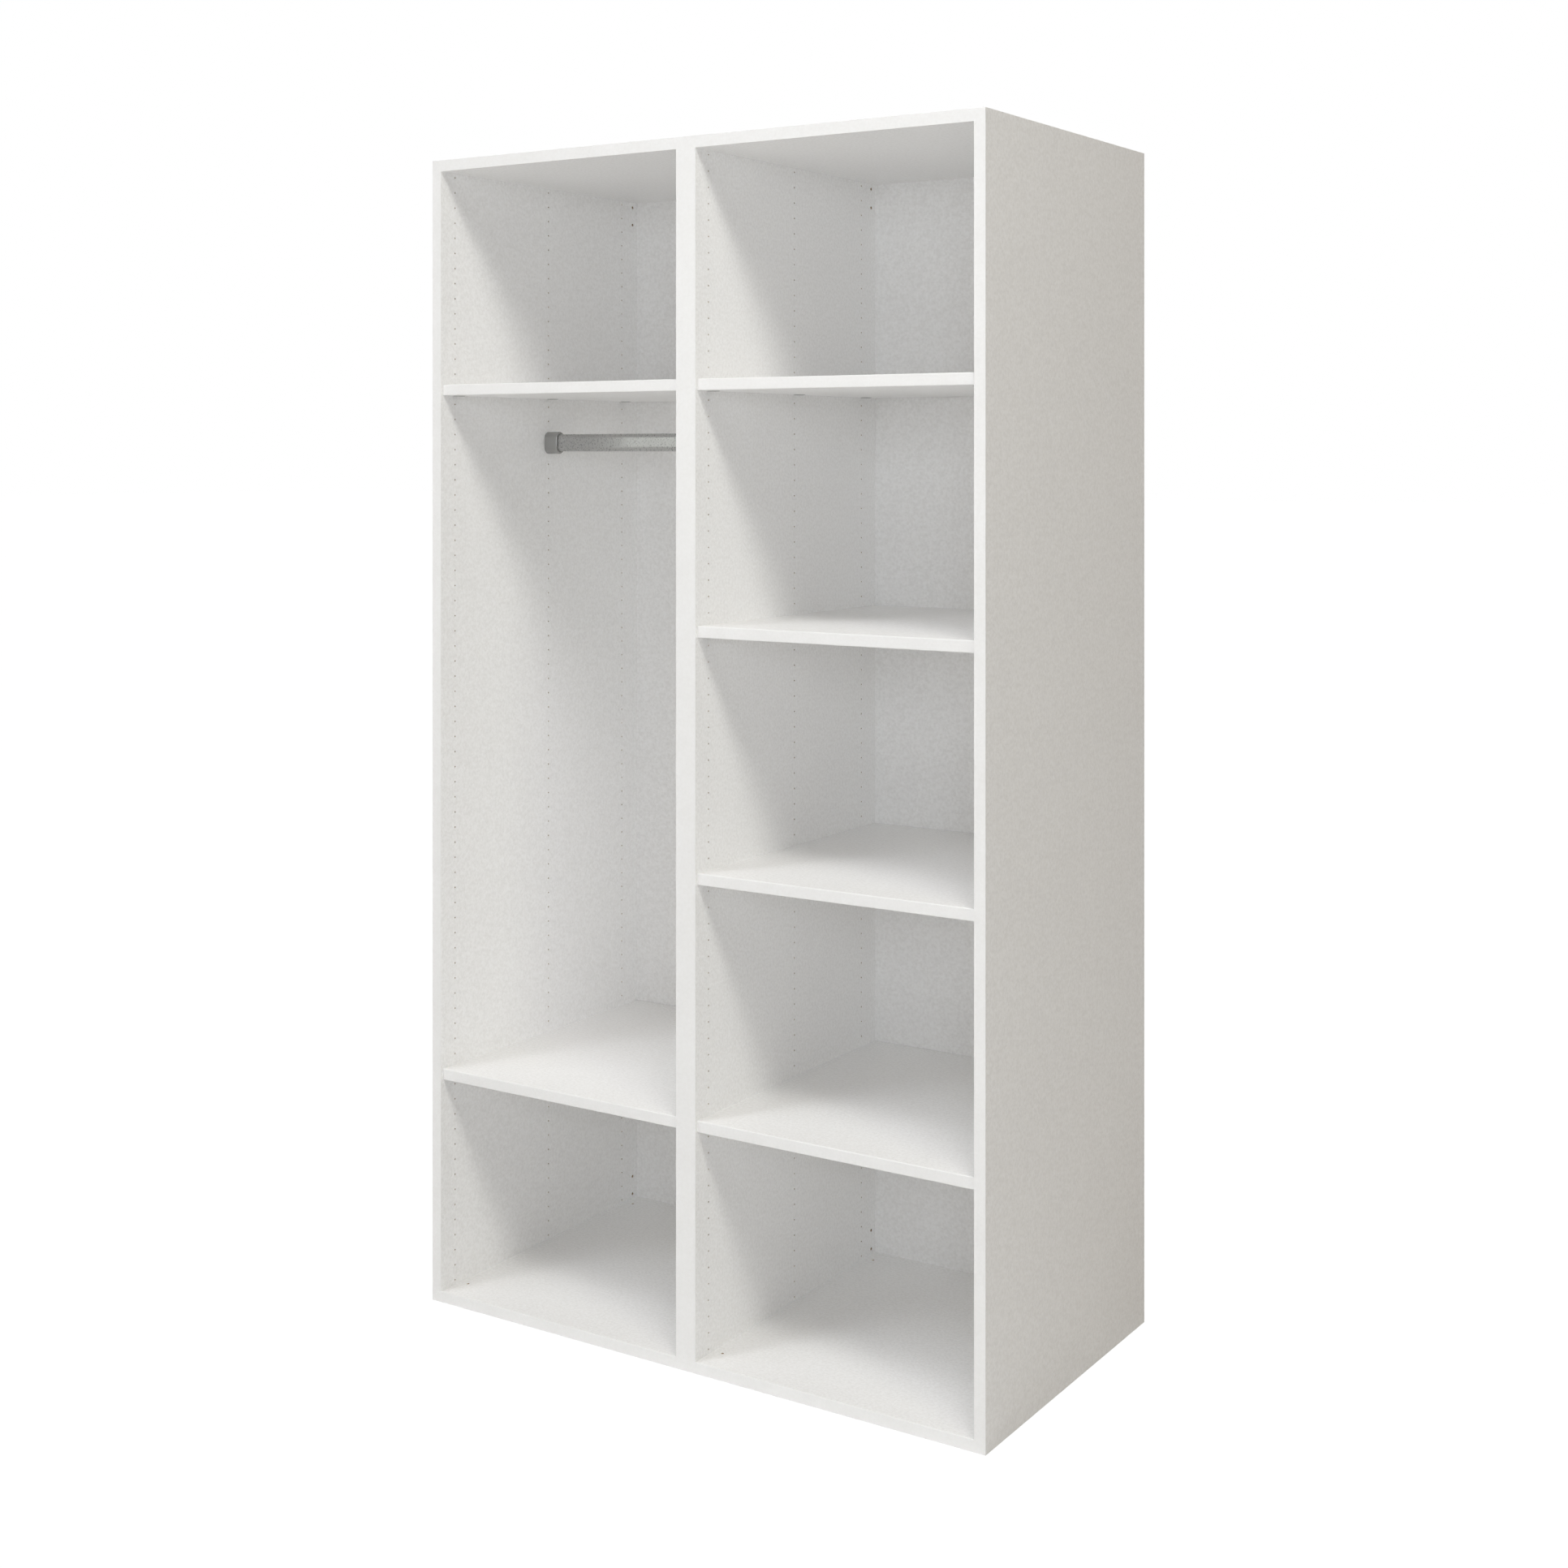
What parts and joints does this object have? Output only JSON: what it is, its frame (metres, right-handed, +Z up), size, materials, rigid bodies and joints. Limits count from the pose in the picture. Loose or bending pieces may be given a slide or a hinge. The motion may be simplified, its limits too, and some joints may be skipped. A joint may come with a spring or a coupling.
{
  "type": "open wardrobe",
  "caption": "Open-fronted white wardrobe of paired cabinets: one side has a hat shelf, an oval clothes rail and a low shelf, the other evenly spaced shelves.",
  "frame": {"origin": "on the floor, at the middle of the width and of the depth", "axes": "+Z up, +X to the right seen from the front, the open fronts face -Y"},
  "size_m": [1.022, 0.55, 1.875],
  "materials": {
    "white_board": "matt white melamine facing on particle board",
    "white_back": "matt white lacquered fibreboard",
    "white_edging": "satin white edging strip",
    "dowel_wood": "plain beech",
    "zinc_steel": "zinc plated",
    "cam_zinc": "die-cast zinc, matt",
    "housing_plastic": "grey moulded plastic",
    "rail_grey": "grey satin coating on a steel tube",
    "cup_grey": "grey moulded plastic"
  },
  "bodies": {
    "root": {"cabinet_joining_screws": "zinc_steel", "clothes_rail": "rail_grey", "hanging_cabinet_back_panel": "white_back", "hanging_cabinet_bottom_edging": "white_edging", "hanging_cabinet_bottom_panel": "white_board", "hanging_cabinet_corner_bolts": "zinc_steel", "hanging_cabinet_corner_cams": "cam_zinc", "hanging_cabinet_corner_dowels": "dowel_wood", "hanging_cabinet_left_side": "white_board", "hanging_cabinet_left_side_edging": "white_edging", "hanging_cabinet_lower_shelf_board": "white_board", "hanging_cabinet_lower_shelf_connector_housings": "housing_plastic", "hanging_cabinet_lower_shelf_connector_studs": "zinc_steel", "hanging_cabinet_lower_shelf_edging": "white_edging", "hanging_cabinet_right_side": "white_board", "hanging_cabinet_right_side_edging": "white_edging", "hanging_cabinet_top_edging": "white_edging", "hanging_cabinet_top_panel": "white_board", "hanging_cabinet_upper_shelf_board": "white_board", "hanging_cabinet_upper_shelf_connector_housings": "housing_plastic", "hanging_cabinet_upper_shelf_connector_studs": "zinc_steel", "hanging_cabinet_upper_shelf_edging": "white_edging", "rail_cup_left": "cup_grey", "rail_cup_right": "cup_grey", "rail_cup_screws": "zinc_steel", "shelf_cabinet_back_panel": "white_back", "shelf_cabinet_bottom_edging": "white_edging", "shelf_cabinet_bottom_panel": "white_board", "shelf_cabinet_corner_bolts": "zinc_steel", "shelf_cabinet_corner_cams": "cam_zinc", "shelf_cabinet_corner_dowels": "dowel_wood", "shelf_cabinet_left_side": "white_board", "shelf_cabinet_left_side_edging": "white_edging", "shelf_cabinet_right_side": "white_board", "shelf_cabinet_right_side_edging": "white_edging", "shelf_cabinet_shelf_1_board": "white_board", "shelf_cabinet_shelf_1_connector_housings": "housing_plastic", "shelf_cabinet_shelf_1_connector_studs": "zinc_steel", "shelf_cabinet_shelf_1_edging": "white_edging", "shelf_cabinet_shelf_2_board": "white_board", "shelf_cabinet_shelf_2_connector_housings": "housing_plastic", "shelf_cabinet_shelf_2_connector_studs": "zinc_steel", "shelf_cabinet_shelf_2_edging": "white_edging", "shelf_cabinet_shelf_3_board": "white_board", "shelf_cabinet_shelf_3_connector_housings": "housing_plastic", "shelf_cabinet_shelf_3_connector_studs": "zinc_steel", "shelf_cabinet_shelf_3_edging": "white_edging", "shelf_cabinet_shelf_4_board": "white_board", "shelf_cabinet_shelf_4_connector_housings": "housing_plastic", "shelf_cabinet_shelf_4_connector_studs": "zinc_steel", "shelf_cabinet_shelf_4_edging": "white_edging", "shelf_cabinet_top_edging": "white_edging", "shelf_cabinet_top_panel": "white_board"}
  },
  "joints": []
}
